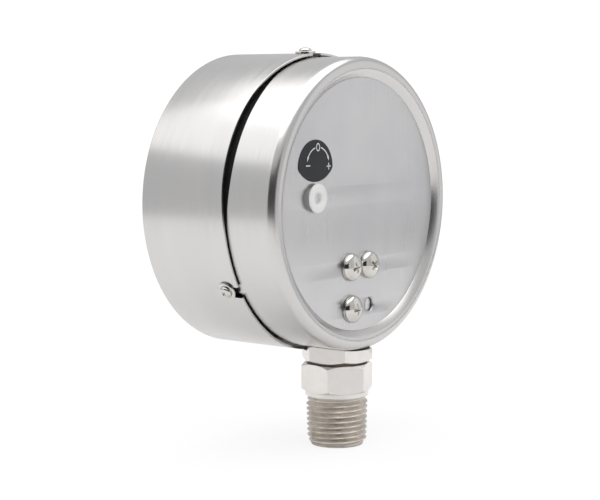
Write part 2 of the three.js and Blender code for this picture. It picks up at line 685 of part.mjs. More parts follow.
// ---------- electrical receptacle ----------
const receptacle = new THREE.Group();
receptacle.position.set(0, CONNECTOR_Y, 0);
caseGroup.add(receptacle);

function connectorBody() {
  const flange = alongX(prism(shapeOf(Array.from({ length: 6 }, (_, k) => polar(10.4, 60 * k))), 4)
    .rotateX(Math.PI / 2)).translate(-56, 0, 0);
  const barrel = alongX(turned([[0, CONNECTOR_TIP_X], [CONNECTOR_R - 0.6, CONNECTOR_TIP_X], [CONNECTOR_R,
    CONNECTOR_TIP_X + 0.6], [CONNECTOR_R, -55], [CONNECTOR_SHANK_R, -55], [CONNECTOR_SHANK_R, -45.8], [0, -45.8]], 24));
  return cut(joined(flange, barrel), alongX(rod(CONNECTOR_BORE_R, -70, -40, 24)));
}

part(receptacle, 'connector_body', connectorBody(), nickel());
part(receptacle, 'connector_seal', alongX(ring(CONNECTOR_SHANK_R + 0.2, 8.8, -51.9, -51.1, 24)), black());
const nutBore = alongX(rod(CONNECTOR_SHANK_R + GAP, -50, -40, 24));
part(receptacle, 'connector_nut', cut(alongX(rod(9.2, -48.6, -46.3, 6)), nutBore), nickel());
const pinPlaces = [45, 135, 225, 315].map((angle) => polar(3.5, angle));
const insert = cut(alongX(rod(CONNECTOR_BORE_R - 0.2, -58, -50, 24)),
  ...pinPlaces.map(([y, z]) => alongX(rod(0.65, -60, -48, TINY)).translate(0, y, z)));
part(receptacle, 'connector_insert', insert, black());
pinPlaces.forEach(([y, z], k) => {
  const pin = part(receptacle, `connector_pin_${k + 1}`, alongX(rod(0.5, -66, -49, TINY)), brass());
  pin.position.set(0, y, z);
});

export default model;
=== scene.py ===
"""Looks of the pressure switch: fine shells, hexagons, helical threads, screws, label, dial and studio.

Lengths below are in millimetres and become metres in place(). Positions are from the centre of the case,
with X to the right seen from the dial, Y towards the back and Z up, unless a piece says otherwise.
"""
import math

import bmesh
import bpy
from mathutils import Matrix, Vector


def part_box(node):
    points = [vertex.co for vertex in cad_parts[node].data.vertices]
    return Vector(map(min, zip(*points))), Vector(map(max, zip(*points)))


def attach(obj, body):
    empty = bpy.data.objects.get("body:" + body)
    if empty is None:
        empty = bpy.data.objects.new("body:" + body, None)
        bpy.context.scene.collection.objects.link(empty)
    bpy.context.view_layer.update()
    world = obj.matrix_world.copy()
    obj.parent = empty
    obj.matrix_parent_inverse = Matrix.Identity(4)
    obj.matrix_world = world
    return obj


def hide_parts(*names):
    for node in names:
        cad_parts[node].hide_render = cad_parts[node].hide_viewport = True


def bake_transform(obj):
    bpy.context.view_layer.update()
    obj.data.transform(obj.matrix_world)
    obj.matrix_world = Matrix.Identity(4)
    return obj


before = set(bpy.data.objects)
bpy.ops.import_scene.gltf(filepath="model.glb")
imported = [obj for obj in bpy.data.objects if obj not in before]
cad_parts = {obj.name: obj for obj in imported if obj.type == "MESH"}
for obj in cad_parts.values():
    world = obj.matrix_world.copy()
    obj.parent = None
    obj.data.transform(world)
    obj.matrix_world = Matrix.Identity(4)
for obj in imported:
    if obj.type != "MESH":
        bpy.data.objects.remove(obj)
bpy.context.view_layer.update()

MM = 0.001
TAU = 2 * math.pi
ON_AXIS = 0.001  # radius of a profile point on the axis, just off it so that the mesh stays regular


def middle(node):
    low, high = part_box(node)
    return (low + high) / 2


CASE_CENTRE = Vector((0, 0, middle("back_plate").z))

# ---------- sizes repeated from the CAD model ----------
HOUSING_R = 51.0
HOUSING_IN_R = 50.2
HOUSING_FRONT_Y = -43.1
HOUSING_EDGE_Y = -7.15
HOUSING_SCALLOP = 1.35
LIP_R = 44.0
LIP_THICK = 1.2
CASE_R = 49.65
CASE_IN_R = 48.75
CASE_EDGE_Y = -7.8
CASE_SCALLOP = 1.77
CASE_REAR_Y = 12.2
RIM_ROUND = 3.0
SCREW_ANGLES = [1.6, 121.6, 241.6]
SLOT_ANGLES = [2.1, 122.1, 242.1]
TONGUE_ANGLES = [1.8, 121.8, 241.8]
SCREW_Y = -12.4
SLOT_HALF = 2.15
TONGUE_HALF = 1.7
TONGUE_TIP_Y = -9.7
NECK_SLOT_HALF = 7.3
DISC_R = 42.65
DISC_BACK_Y = 10.3
DISC_THICK = 1.2
SEAT = 0.04
BACK_SCREWS = [(6.3, -20.8), (-3.9, -20.8), (5.8, -35.0)]
SPARE_HOLE = (-5.4, -34.6)
PLUG_AT = (26.0, 3.6)
TUBE_R = 36.5
TUBE_Y = 2.6
TUBE_WIDTH = 9.0
TUBE_THICK = 3.6
TUBE_WALL = 0.5
TUBE_START = 259
TUBE_END = -10
LABEL_X = 25.6
HEX_R = 12.7
NUT_TURN = 41
FITTING_TURN = 8
NUT_BOTTOM_Z = -54.0
FITTING_TOP_Z = -54.8
FITTING_HEX_Z = -64.5
THREAD_TOP_Z = -66.3
THREAD_END_Z = -83.2
THREAD_R = 10.67
THREAD_END_R = 10.15
THREAD_PITCH = 1.814
THREAD_DEPTH = 1.25
BORE_R = 2.5
CONNECTOR_Y = -25.0
CONNECTOR_TIP_X = -68.0
CONNECTOR_R = 6.0
CONNECTOR_BORE_R = 4.6
CONNECTOR_HEX_R = 10.4
DIAL_R = 46.5
DIAL_FRONT_Y = -16.4
WINDOW_R = 49.3
WINDOW_HOLE_R = 4.0
WINDOW_BACK_Y = -36.7
WINDOW_FRONT_Y = -40.7
ZERO_ANGLE = 225
SWEEP = 270


# ---------- mesh helpers ----------
def place(name, vertices, faces, smooth_angle=35):
    """A mesh object from millimetre points about the case centre, shaded smooth up to an angle."""
    mesh = bpy.data.meshes.new(name)
    mesh.from_pydata([CASE_CENTRE + Vector(v) * MM for v in vertices], [], faces)
    mesh.update()
    piece = bpy.data.objects.new(name, mesh)
    bpy.context.scene.collection.objects.link(piece)
    outward(piece)
    shade(piece, smooth_angle)
    return piece


def outward(piece):
    work = bmesh.new()
    work.from_mesh(piece.data)
    bmesh.ops.recalc_face_normals(work, faces=work.faces)
    work.to_mesh(piece.data)
    work.free()


def shade(piece, smooth_angle):
    for face in piece.data.polygons:
        face.use_smooth = True
    piece.data.set_sharp_from_angle(angle=math.radians(smooth_angle))


def grid_faces(rows, columns, close_rows, close_columns):
    faces = []
    for i in range(rows if close_rows else rows - 1):
        for j in range(columns if close_columns else columns - 1):
            below = (i + 1) % rows
            right = (j + 1) % columns
            faces.append((i * columns + j, i * columns + right, below * columns + right, below * columns + j))
    return faces


def lathe_y(name, profile, angles=None, segments=192, closed=True, smooth_angle=35):
    """Turns (radius, y) points about the Y axis. profile may be a function of the angle from +Z to +X."""
    angles = angles or [360 * k / segments for k in range(segments)]
    points = []
    for angle in angles:
        around = math.radians(angle)
        row = profile(angle) if callable(profile) else profile
        points += [(r * math.sin(around), y, r * math.cos(around)) for r, y in row]
    columns = len(points) // len(angles)
    faces = grid_faces(len(angles), columns, True, closed)
    return place(name, points, faces, smooth_angle)


def lathe_z(name, profile, segments=128, closed=True, smooth_angle=35):
    """Turns (radius, z) points about the Z axis."""
    points = []
    for k in range(segments):
        around = TAU * k / segments
        points += [(r * math.cos(around), r * math.sin(around), z) for r, z in profile]
    faces = grid_faces(segments, len(profile), True, closed)
    return place(name, points, faces, smooth_angle)


def arc(centre_r, centre_y, radius, start, end, steps=6):
    """Profile points on an arc; 0 degrees points away from the axis and 90 towards +Y."""
    found = []
    for k in range(steps + 1):
        angle = math.radians(start + (end - start) * k / steps)
        found.append((centre_r + radius * math.cos(angle), centre_y + radius * math.sin(angle)))
    return found


def apply_modifiers(piece):
    bpy.context.view_layer.update()
    graph = bpy.context.evaluated_depsgraph_get()
    mesh = bpy.data.meshes.new_from_object(piece.evaluated_get(graph))
    piece.modifiers.clear()
    piece.data = mesh
    return piece


def boolean(piece, tool, operation):
    step = piece.modifiers.new("cut", "BOOLEAN")
    step.object = tool
    step.operation = operation
    step.solver = "EXACT"
    apply_modifiers(piece)
    bpy.data.objects.remove(tool)
    return piece


def bevel(piece, width, segments=2, angle=30):
    step = piece.modifiers.new("bevel", "BEVEL")
    step.width = width * MM
    step.segments = segments
    step.limit_method = "ANGLE"
    step.angle_limit = math.radians(angle)
    step.harden_normals = False
    return apply_modifiers(piece)


def prism(name, outline, z0, z1):
    count = len(outline)
    points = [(x, y, z0) for x, y in outline] + [(x, y, z1) for x, y in outline]
    faces = [tuple(range(count))[::-1], tuple(range(count, 2 * count))]
    faces += [(k, (k + 1) % count, (k + 1) % count + count, k + count) for k in range(count)]
    return place(name, points, faces)


def box_piece(name, low, high):
    (x0, y0, z0), (x1, y1, z1) = low, high
    return prism(name, [(x0, y0), (x1, y0), (x1, y1), (x0, y1)], z0, z1)


def curve_sheet(name, loops, y, thick, edge=0.0):
    """A flat sheet facing the Y axis from closed loops of (x, z) points; later loops are holes."""
    curve = bpy.data.curves.new(name, "CURVE")
    curve.dimensions = "2D"
    curve.fill_mode = "BOTH"
    curve.extrude = max(thick / 2 - edge, 0.001) * MM
    curve.bevel_depth = edge * MM
    curve.bevel_resolution = 2
    for loop in loops:
        spline = curve.splines.new("POLY")
        spline.points.add(len(loop) - 1)
        spline.use_cyclic_u = True
        for point, (x, z) in zip(spline.points, loop):
            point.co = (x * MM, z * MM, 0, 1)
    helper = bpy.data.objects.new(name + "_outline", curve)
    bpy.context.scene.collection.objects.link(helper)
    bpy.context.view_layer.update()
    mesh = bpy.data.meshes.new_from_object(helper.evaluated_get(bpy.context.evaluated_depsgraph_get()))
    bpy.data.objects.remove(helper)
    upright = Matrix.Rotation(math.pi / 2, 4, "X")
    mesh.transform(Matrix.Translation(CASE_CENTRE + Vector((0, y * MM, 0))) @ upright)
    mesh.name = name
    piece = bpy.data.objects.new(name, mesh)
    bpy.context.scene.collection.objects.link(piece)
    shade(piece, 35)
    return piece


def oval(x, z, half_x, half_z, count=40):
    angles = [TAU * k / count for k in range(count)]
    return [(x + half_x * math.cos(angle), z + half_z * math.sin(angle)) for angle in angles]


def circle(x, z, radius, count=48):
    return oval(x, z, radius, radius, count)


def moved(piece, matrix):
    """Moves mesh points about the case centre, so that the object itself stays at the origin."""
    to_centre = Matrix.Translation(CASE_CENTRE)
    piece.data.transform(to_centre @ matrix @ to_centre.inverted())
    return piece


def shifted(x, y, z):
    return Matrix.Translation(Vector((x, y, z)) * MM)


def merged(name, pieces):
    work = bmesh.new()
    for piece in pieces:
        work.from_mesh(piece.data)
        bpy.data.objects.remove(piece)
    mesh = bpy.data.meshes.new(name)
    work.to_mesh(mesh)
    work.free()
    piece = bpy.data.objects.new(name, mesh)
    bpy.context.scene.collection.objects.link(piece)
    shade(piece, 35)
    return piece


def finish_piece(piece, material, node, body="case"):
    piece.data.materials.clear()
    piece.data.materials.append(material)
    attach(piece, body)
    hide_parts(node)
    return piece


# ---------- materials ----------
class Look:
    """Builds one node material step by step."""

    def __init__(self, name, color, roughness, metallic):
        self.material = bpy.data.materials.new(name)
        self.material.use_nodes = True
        self.tree = self.material.node_tree
        self.shader = self.tree.nodes["Principled BSDF"]
        self.shader.inputs["Base Color"].default_value = (*color, 1)
        self.shader.inputs["Roughness"].default_value = roughness
        self.shader.inputs["Metallic"].default_value = metallic
        self.place = self.node("ShaderNodeTexCoord").outputs["Object"]
        self.normal = None

    def node(self, kind, **settings):
        made = self.tree.nodes.new(kind)
        for key, value in settings.items():
            setattr(made, key, value)
        return made

    def link(self, source, target):
        self.tree.links.new(source, target)

    def math(self, operation, first, second=None):
        made = self.node("ShaderNodeMath", operation=operation)
        for socket, value in zip(made.inputs, (first, second)):
            if value is None:
                continue
            if isinstance(value, (int, float)):
                socket.default_value = value
            else:
                self.link(value, socket)
        return made.outputs[0]

    def about_y(self):
        """Coordinates (length round the case, distance from the axis, y), for grain round the axis."""
        parts = self.node("ShaderNodeSeparateXYZ")
        self.link(self.place, parts.inputs[0])
        up = self.math("SUBTRACT", parts.outputs["Z"], CASE_CENTRE.z)
        around = self.math("ARCTAN2", parts.outputs["X"], up)
        squares = [self.math("MULTIPLY", side, side) for side in (parts.outputs["X"], up)]
        radius = self.math("SQRT", self.math("ADD", *squares))
        together = self.node("ShaderNodeCombineXYZ")
        self.link(self.math("MULTIPLY", around, HOUSING_R * MM), together.inputs[0])
        self.link(radius, together.inputs[1])
        self.link(parts.outputs["Y"], together.inputs[2])
        self.place = together.outputs[0]
        return self

    def noise(self, scale, stretch=(1, 1, 1), detail=4, rough=0.6):
        mapping = self.node("ShaderNodeMapping")
        mapping.inputs["Scale"].default_value = stretch
        self.link(self.place, mapping.inputs["Vector"])
        made = self.node("ShaderNodeTexNoise")
        made.inputs["Scale"].default_value = scale
        made.inputs["Detail"].default_value = detail
        made.inputs["Roughness"].default_value = rough
        self.link(mapping.outputs[0], made.inputs["Vector"])
        return made.outputs["Fac"]

    def between(self, source, low, high, from_low=0.3, from_high=0.7):
        made = self.node("ShaderNodeMapRange")
        made.inputs["From Min"].default_value = from_low
        made.inputs["From Max"].default_value = from_high
        made.inputs["To Min"].default_value = low
        made.inputs["To Max"].default_value = high
        self.link(source, made.inputs["Value"])
        return made.outputs["Result"]

    def tint(self, source, dark, light):
        made = self.node("ShaderNodeMix", data_type="RGBA")
        made.inputs["A"].default_value = (*dark, 1)
        made.inputs["B"].default_value = (*light, 1)
        self.link(source, made.inputs["Factor"])
        self.link(made.outputs["Result"], self.shader.inputs["Base Color"])
        return self

    def rough(self, source, low, high):
        self.link(self.between(source, low, high), self.shader.inputs["Roughness"])
        return self

    def bump(self, source, strength, distance):
        made = self.node("ShaderNodeBump")
        made.inputs["Strength"].default_value = strength
        made.inputs["Distance"].default_value = distance * MM
        self.link(source, made.inputs["Height"])
        if self.normal:
            self.link(self.normal, made.inputs["Normal"])
        self.normal = made.outputs[0]
        self.link(self.normal, self.shader.inputs["Normal"])
        return self

    def set(self, **values):
        for key, value in values.items():
            self.shader.inputs[key.replace("_", " ")].default_value = value
        return self


def brushed_shell():
    """Stainless sheet polished round the axis: fine grain along the turn, with faint handling marks."""
    look = Look("brushed_shell", (0.72, 0.725, 0.73), 0.25, 1.0).about_y()
    grain = look.noise(900, (0.03, 0.4, 1), detail=3)
    broad = look.noise(55, (0.25, 1, 1.6), detail=3)
    look.tint(look.between(broad, 0, 1), (0.65, 0.64, 0.635), (0.68, 0.668, 0.655))
    look.rough(grain, 0.21, 0.27)
    look.bump(grain, 0.035, 0.02)
    look.bump(broad, 0.05, 0.10)
    return look.material


def satin_disc():
    """Fine satin sheet of the back disc."""
    look = Look("satin_disc", (0.62, 0.62, 0.625), 0.38, 1.0)
    grain = look.noise(1400, (1, 1, 1), detail=2)
    lines = look.noise(700, (1, 1, 0.04), detail=2)
    broad = look.noise(30, (1, 1, 1), detail=2)
    look.tint(look.between(broad, 0, 1), (0.60, 0.60, 0.61), (0.66, 0.66, 0.66))
    look.rough(lines, 0.27, 0.34)
    look.bump(grain, 0.025, 0.02)
    return look.material


def turned_steel():
    """Machined stainless of the stem, with fine tool lines round it and a warm tone."""
    look = Look("turned_steel", (0.74, 0.71, 0.67), 0.3, 1.0)
    lines = look.noise(1500, (0.05, 0.05, 1), detail=2)
    broad = look.noise(120, (1, 1, 1), detail=3)
    look.tint(look.between(broad, 0, 1), (0.79, 0.77, 0.735), (0.93, 0.91, 0.875))
    look.rough(broad, 0.26, 0.40)
    look.bump(lines, 0.10, 0.02)
    look.bump(broad, 0.10, 0.08)
    return look.material


def thread_steel():
    """Thread flanks: duller than the hexagon, with random darker and lighter patches."""
    look = Look("thread_steel", (0.62, 0.59, 0.54), 0.42, 1.0)
    patch = look.noise(260, (1, 1, 2), detail=4)
    look.tint(look.between(patch, 0, 1), (0.62, 0.575, 0.52), (0.86, 0.81, 0.745))
    look.rough(patch, 0.34, 0.5)
    look.bump(patch, 0.15, 0.05)
    return look.material


def nickel():
    look = Look("bright_nickel", (0.78, 0.76, 0.72), 0.12, 1.0)
    patch = look.noise(350, (1, 1, 1), detail=3)
    look.tint(look.between(patch, 0, 1), (0.60, 0.585, 0.55), (0.74, 0.725, 0.69))
    look.rough(patch, 0.05, 0.12)
    look.bump(patch, 0.08, 0.04)
    return look.material


def moulded(name, color, roughness, scale=900):
    """Moulded plastic or rubber with a fine grain and slight tone changes."""
    look = Look(name, color, roughness, 0.0)
    grain = look.noise(scale, detail=3)
    broad = look.noise(60, detail=2)
    darker = tuple(c * 0.85 for c in color)
    look.tint(look.between(broad, 0, 1), darker, color)
    look.rough(grain, roughness - 0.08, min(roughness + 0.08, 1))
    look.bump(grain, 0.15, 0.03)
    return look


def painted(name, color, roughness=0.45):
    return moulded(name, color, roughness, 1800).material


def metal(name, color, roughness, scale=500):
    look = Look(name, color, roughness, 1.0)
    patch = look.noise(scale, detail=3)
    darker = tuple(c * 0.86 for c in color)
    look.tint(look.between(patch, 0, 1), darker, color)
    look.rough(patch, roughness - 0.06, roughness + 0.08)
    look.bump(patch, 0.05, 0.02)
    return look.material


def window_glass():
    look = Look("window_glass", (0.97, 0.99, 0.985), 0.03, 0.0)
    smear = look.noise(40, detail=3)
    look.rough(smear, 0.015, 0.06)
    look.set(Transmission_Weight=1.0, IOR=1.01, Alpha=0.2, Coat_Weight=1.0, Coat_Roughness=0.03, Coat_IOR=1.7)
    return look.material


STEEL = brushed_shell()
DISC_STEEL = satin_disc()
STEM_STEEL = turned_steel()
THREAD_STEEL = thread_steel()
NICKEL = nickel()
# The ring in the gap between the shells is near black: partly its own black, partly painted shade of the gap.
BLACK_RING_AND_GAP_SHADE = moulded("black_ring", (0.012, 0.012, 0.013), 0.55).material
LABEL_FILM = moulded("label_film", (0.026, 0.027, 0.031), 0.5, 1600).set(Specular_IOR_Level=0.3).material
LABEL_PRINT = painted("label_print", (0.86, 0.86, 0.86), 0.5)
WHITE_PLUG = moulded("white_plug", (0.88, 0.88, 0.87), 0.35).material
BRASS = metal("stamped_brass", (0.78, 0.60, 0.30), 0.30)
BRONZE = metal("drawn_bronze", (0.66, 0.46, 0.27), 0.34)
MOVEMENT_STEEL = metal("movement_steel", (0.60, 0.60, 0.61), 0.28)
SILVER = metal("contact_silver", (0.86, 0.86, 0.84), 0.18)
GOLD = metal("pin_gold", (0.85, 0.64, 0.26), 0.2)
DIAL_WHITE = painted("dial_white", (0.86, 0.86, 0.84))
PRINT_BLACK = painted("print_black", (0.02, 0.02, 0.02))
POINTER_BLACK = painted("pointer_black", (0.025, 0.025, 0.025))
GREEN = painted("low_green", (0.05, 0.33, 0.10))
RED = painted("high_red", (0.52, 0.035, 0.03))
RUBBER = moulded("gasket_rubber", (0.018, 0.018, 0.018), 0.7).material
KEY_BLACK = moulded("key_black", (0.025, 0.025, 0.027), 0.45).material
# The neck seal is dark brown: partly its own colour, partly painted shade of the gap between the lock nut and
# the fitting hex.
SEAL_AND_GAP_SHADE = moulded("seal_fibre", (0.16, 0.12, 0.09), 0.8).material
GLASS = window_glass()

CAD_LOOKS = {
    BLACK_RING_AND_GAP_SHADE: ["inner_ring"],
    STEM_STEEL: ["socket_block", "restrictor_screw"],
    BRONZE: ["tube_end_piece"],
    BRASS: ["sector_gear", "movement_back_plate", "movement_front_plate", "pillar_1", "pillar_2", "pillar_3",
            "hairspring", "moving_contact_arm", "key_sleeve"],
    MOVEMENT_STEEL: ["pinion_arbor", "link", "movement_screw_1", "movement_screw_2", "zero_adjust_screw",
                     "contact_bridge", "bridge_screw_1", "bridge_screw_2"],
    SILVER: ["low_contact", "high_contact"],
    NICKEL: ["dial_screw_1", "dial_screw_2", "connector_nut"],
    GREEN: ["low_set_arm"],
    RED: ["high_set_arm"],
    POINTER_BLACK: ["pointer"],
    STEEL: ["window_snap_ring"],
    RUBBER: ["window_gasket"],
    GOLD: ["connector_pin_1", "connector_pin_2", "connector_pin_3", "connector_pin_4"],
}
for look, names in CAD_LOOKS.items():
    for node_name in names:
        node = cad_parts[node_name]
        node.data.materials.clear()
        node.data.materials.append(look)


# ---------- case shells ----------
FACE_BACK = Matrix.Rotation(-math.pi / 2, 4, "X")


def scallop(angle):
    wave = (1 - math.cos(math.radians(3 * angle))) / 2
    return wave * wave * (3 - 2 * wave)


def from_nearest(angle, centres):
    """Signed angle to the nearest of some angles round the case."""
    return min(((angle - centre + 180) % 360 - 180 for centre in centres), key=abs)


def case_edge(angle):
    """The rear case's front edge: the wave, a tongue at each screw, and the open slot round the neck."""
    along = math.radians(from_nearest(angle, TONGUE_ANGLES)) * CASE_R
    if abs(along) <= TONGUE_HALF:
        return TONGUE_TIP_Y + TONGUE_HALF - math.sqrt(max(TONGUE_HALF ** 2 - along ** 2, 0))
    sideways = math.sin(math.radians(angle)) * CASE_R
    if 90 < angle < 270 and abs(sideways) <= NECK_SLOT_HALF:
        return math.sqrt(max(NECK_SLOT_HALF ** 2 - sideways ** 2, 0))
    return CASE_EDGE_Y + CASE_SCALLOP * scallop(angle)


def housing_edge(angle):
    """The cover's rear edge: the wave, with a round-ended slot at each screw."""
    along = math.radians(from_nearest(angle, SLOT_ANGLES)) * HOUSING_R
    if abs(along) <= SLOT_HALF:
        return SCREW_Y - math.sqrt(max(SLOT_HALF ** 2 - along ** 2, 0))
    return HOUSING_EDGE_Y - HOUSING_SCALLOP * scallop(angle)


def shell_angles(radius, half_widths):
    """Even angles, with extra ones at both sides of each tongue, slot or opening."""
    angles = {round(k * 1.5, 4) for k in range(240)}
    for centre, half in half_widths:
        reach = math.degrees(half / radius)
        for k in range(17):
            step = math.degrees(math.asin(min(math.sin(half / radius) * math.sin(math.pi * (k - 8) / 16), 1)))
            angles.add(round((centre + step) % 360, 4))
        angles.add(round((centre - reach - 0.02) % 360, 4))
        angles.add(round((centre + reach + 0.02) % 360, 4))
    return sorted(angles)


def rear_case():
    crest = CASE_R - RIM_ROUND
    rim_r = DISC_R + 0.12
    back = arc(crest, CASE_REAR_Y - RIM_ROUND, RIM_ROUND, 0, 90, 14)
    fall = [(crest - 0.7, CASE_REAR_Y - 0.03), (crest - 1.3, CASE_REAR_Y - 0.13),
            (crest - 1.7, CASE_REAR_Y - 0.32), (crest - 2.0, CASE_REAR_Y - 0.58),
            (rim_r + 0.2, DISC_BACK_Y + 0.14), (rim_r, DISC_BACK_Y - 0.1)]
    inside = [(rim_r, 8.6), (41.3, 8.6), (41.3, 7.4), (46.9, 7.4), (CASE_IN_R, 5.4)]

    def profile(angle):
        edge = case_edge(angle)
        soft = 0.12
        front = [(CASE_IN_R, edge + soft), (CASE_IN_R + soft, edge),
                 (CASE_R - soft, edge), (CASE_R, edge + soft)]
        return front + [(CASE_R, max(edge + soft + 0.05, 7.9))] + back + fall + inside

    angles = shell_angles(CASE_R, [(a, TONGUE_HALF) for a in TONGUE_ANGLES] + [(180, NECK_SLOT_HALF)])
    return lathe_y("rear_case_fine", profile, angles)


def front_housing():
    front = HOUSING_FRONT_Y
    outer = arc(HOUSING_R - 0.5, front + 0.5, 0.5, 0, -90, 4)
    lip = [(LIP_R + 0.15, front), (LIP_R, front + 0.15), (LIP_R, front + LIP_THICK - 0.15),
           (LIP_R + 0.15, front + LIP_THICK), (HOUSING_IN_R, front + LIP_THICK)]

    def profile(angle):
        edge = housing_edge(angle)
        soft = 0.12
        rear = [(HOUSING_IN_R, edge - soft), (HOUSING_IN_R + soft, edge), (HOUSING_R - soft, edge),
                (HOUSING_R, edge - soft)]
        return rear + outer + lip

    angles = shell_angles(HOUSING_R, [(a, SLOT_HALF) for a in SLOT_ANGLES])
    return lathe_y("front_housing_fine", profile, angles)


def back_plate():
    holes = [circle(x, z, 2.3) for x, z in BACK_SCREWS]
    holes += [circle(*SPARE_HOLE, 2.4), circle(*PLUG_AT, 3.1)]
    plate = curve_sheet("back_plate_fine", [circle(0, 0, DISC_R, 256)] + holes, DISC_BACK_Y - DISC_THICK / 2,
                        DISC_THICK, 0.1)
    sink = lathe_z("countersink", [(ON_AXIS, -0.6), (2.3, -0.6), (3.15, 0.1), (ON_AXIS, 0.1)], 64)
    moved(sink, shifted(SPARE_HOLE[0], DISC_BACK_Y, SPARE_HOLE[1]) @ FACE_BACK)
    return boolean(plate, sink, "DIFFERENCE")


finish_piece(rear_case(), STEEL, "rear_case")
finish_piece(front_housing(), STEEL, "front_housing")
finish_piece(back_plate(), DISC_STEEL, "back_plate")


# ---------- screws ----------
def cross_tool(width, arm_half, z0, z1):
    """A cross-shaped cutter with tapered arms, pointing along Z."""
    arms = []
    for turn in (0, 90):
        arm = box_piece(f"arm_{turn}", (-width, -arm_half, z0), (width, arm_half, z1))
        for vertex in arm.data.vertices:
            local = vertex.co - CASE_CENTRE
            if local.z < z0 * MM + 1e-6:
                local.x *= 0.45
                local.y *= 0.6
                vertex.co = CASE_CENTRE + local
        moved(arm, Matrix.Rotation(math.radians(turn), 4, "Z"))
        arms.append(arm)
    return boolean(arms[0], arms[1], "UNION")


def pan_screw(name, head_r, head_h, shank_r, shank_l, recess, turn=0):
    """A Phillips pan head facing +Z from z = 0."""
    brim = head_h * 0.18
    profile = [(ON_AXIS, -shank_l), (shank_r, -shank_l), (shank_r, 0), (head_r - 0.15, 0), (head_r, 0.15),
               (head_r, brim)]
    for k in range(1, 12):
        angle = math.radians(7.5 * k)
        profile.append((head_r * math.cos(angle) ** 0.92, brim + (head_h - brim) * math.sin(angle)))
    profile.append((ON_AXIS, head_h))
    head = lathe_z(name, profile, 96, closed=True, smooth_angle=40)
    tool = cross_tool(recess, recess * 0.23, head_h * 0.36, head_h + 1)
    moved(tool, Matrix.Rotation(math.radians(turn), 4, "Z"))
    boolean(head, tool, "DIFFERENCE")
    bevel(head, 0.07, 2, 40)
    shade(head, 40)
    return head


for index, (x, z) in enumerate(BACK_SCREWS):
    screw = pan_screw(f"back_screw_{index + 1}_fine", 4.75, 3.0, 2.0, 6, 2.6, turn=(20, 48, 8)[index])
    moved(screw, shifted(x, DISC_BACK_Y + SEAT, z) @ FACE_BACK)
    finish_piece(screw, NICKEL, f"back_screw_{index + 1}")

for index, angle in enumerate(SCREW_ANGLES):
    around = Matrix.Rotation(math.radians(angle), 4, "Y")
    ring = [(1.7, 0), (3.4, 0), (3.5, 0.1), (3.5, 0.5), (3.4, 0.6), (1.7, 0.6)]
    washer = lathe_z(f"cover_washer_{index + 1}_fine", ring, 72)
    moved(washer, around @ shifted(0, SCREW_Y, HOUSING_R + SEAT))
    finish_piece(washer, NICKEL, f"cover_washer_{index + 1}")
    screw = pan_screw(f"cover_screw_{index + 1}_fine", 2.2, 1.3, 1.35, 6, 1.25, turn=(15, 52, 30)[index])
    moved(screw, around @ shifted(0, SCREW_Y, HOUSING_R + 0.6 + 2 * SEAT))
    finish_piece(screw, NICKEL, f"cover_screw_{index + 1}")


# ---------- pressure tube ----------
def tube_section(half_long, half_short, count=32):
    """Flat sides and round ends, the long way along Y, as (radial, y) points."""
    straight = half_long - half_short
    section = []
    for k in range(count):
        angle = TAU * (k + 0.5) / count
        along = math.cos(angle)
        section.append((half_short * math.sin(angle), half_short * along + math.copysign(straight, along)))
    return section


def pressure_tube(steps=120):
    """The hollow tube with a flat oval section, swept along its arc."""
    outer = tube_section(TUBE_WIDTH / 2, TUBE_THICK / 2)
    inner = tube_section(TUBE_WIDTH / 2 - TUBE_WALL, TUBE_THICK / 2 - TUBE_WALL)
    points = []
    for section, order in ((outer, range(steps + 1)), (inner, range(steps, -1, -1))):
        for k in order:
            angle = math.radians(TUBE_START + (TUBE_END - TUBE_START) * k / steps)
            for radial, y in section:
                radius = TUBE_R + radial
                points.append((radius * math.cos(angle), TUBE_Y + y, radius * math.sin(angle)))
    tube = place("pressure_tube", points, grid_faces(2 * (steps + 1), len(outer), True, True))
    tube.data.materials.append(BRONZE)
    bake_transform(tube)
    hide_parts("bourdon_tube")


pressure_tube()


# ---------- label and plug ----------
def label_outline():
    half = 9.05
    top = [(LABEL_X + half * math.cos(TAU * k / 96), 13.5 + half * math.sin(TAU * k / 96)) for k in range(49)]
    sag = 4.3
    radius = (half ** 2 + sag ** 2) / (2 * sag)
    reach = math.asin(half / radius)
    low = []
    for k in range(1, 32):
        angle = -reach + 2 * reach * k / 32
        low.append((LABEL_X + radius * math.sin(angle), 13.2 - radius * math.cos(angle) + radius - sag))
    return top + low


def arc_band(centre_x, centre_z, radius, width, start, end, steps=28):
    outer = []
    inner = []
    for k in range(steps + 1):
        angle = math.radians(start + (end - start) * k / steps)
        outer.append((centre_x + (radius + width / 2) * math.cos(angle),
                      centre_z + (radius + width / 2) * math.sin(angle)))
        inner.append((centre_x + (radius - width / 2) * math.cos(angle),
                      centre_z + (radius - width / 2) * math.sin(angle)))
    return outer + inner[::-1]


label = curve_sheet("adjustment_label_fine", [label_outline()], DISC_BACK_Y + 0.15, 0.2, 0.05)
finish_piece(label, LABEL_FILM, "adjustment_label")

PRINT_X = 24.4
PRINT_Z = 14.1
PRINT_R = 6.0


def arrow_tip(angle, turn):
    """A narrow pointed tip continuing the arc at one end."""
    tip = math.radians(angle + turn * 16)
    start = math.radians(angle)
    return [(PRINT_X + (PRINT_R + 0.45) * math.cos(start), PRINT_Z + (PRINT_R + 0.45) * math.sin(start)),
            (PRINT_X + PRINT_R * math.cos(tip), PRINT_Z + PRINT_R * math.sin(tip)),
            (PRINT_X + (PRINT_R - 0.45) * math.cos(start), PRINT_Z + (PRINT_R - 0.45) * math.sin(start))]


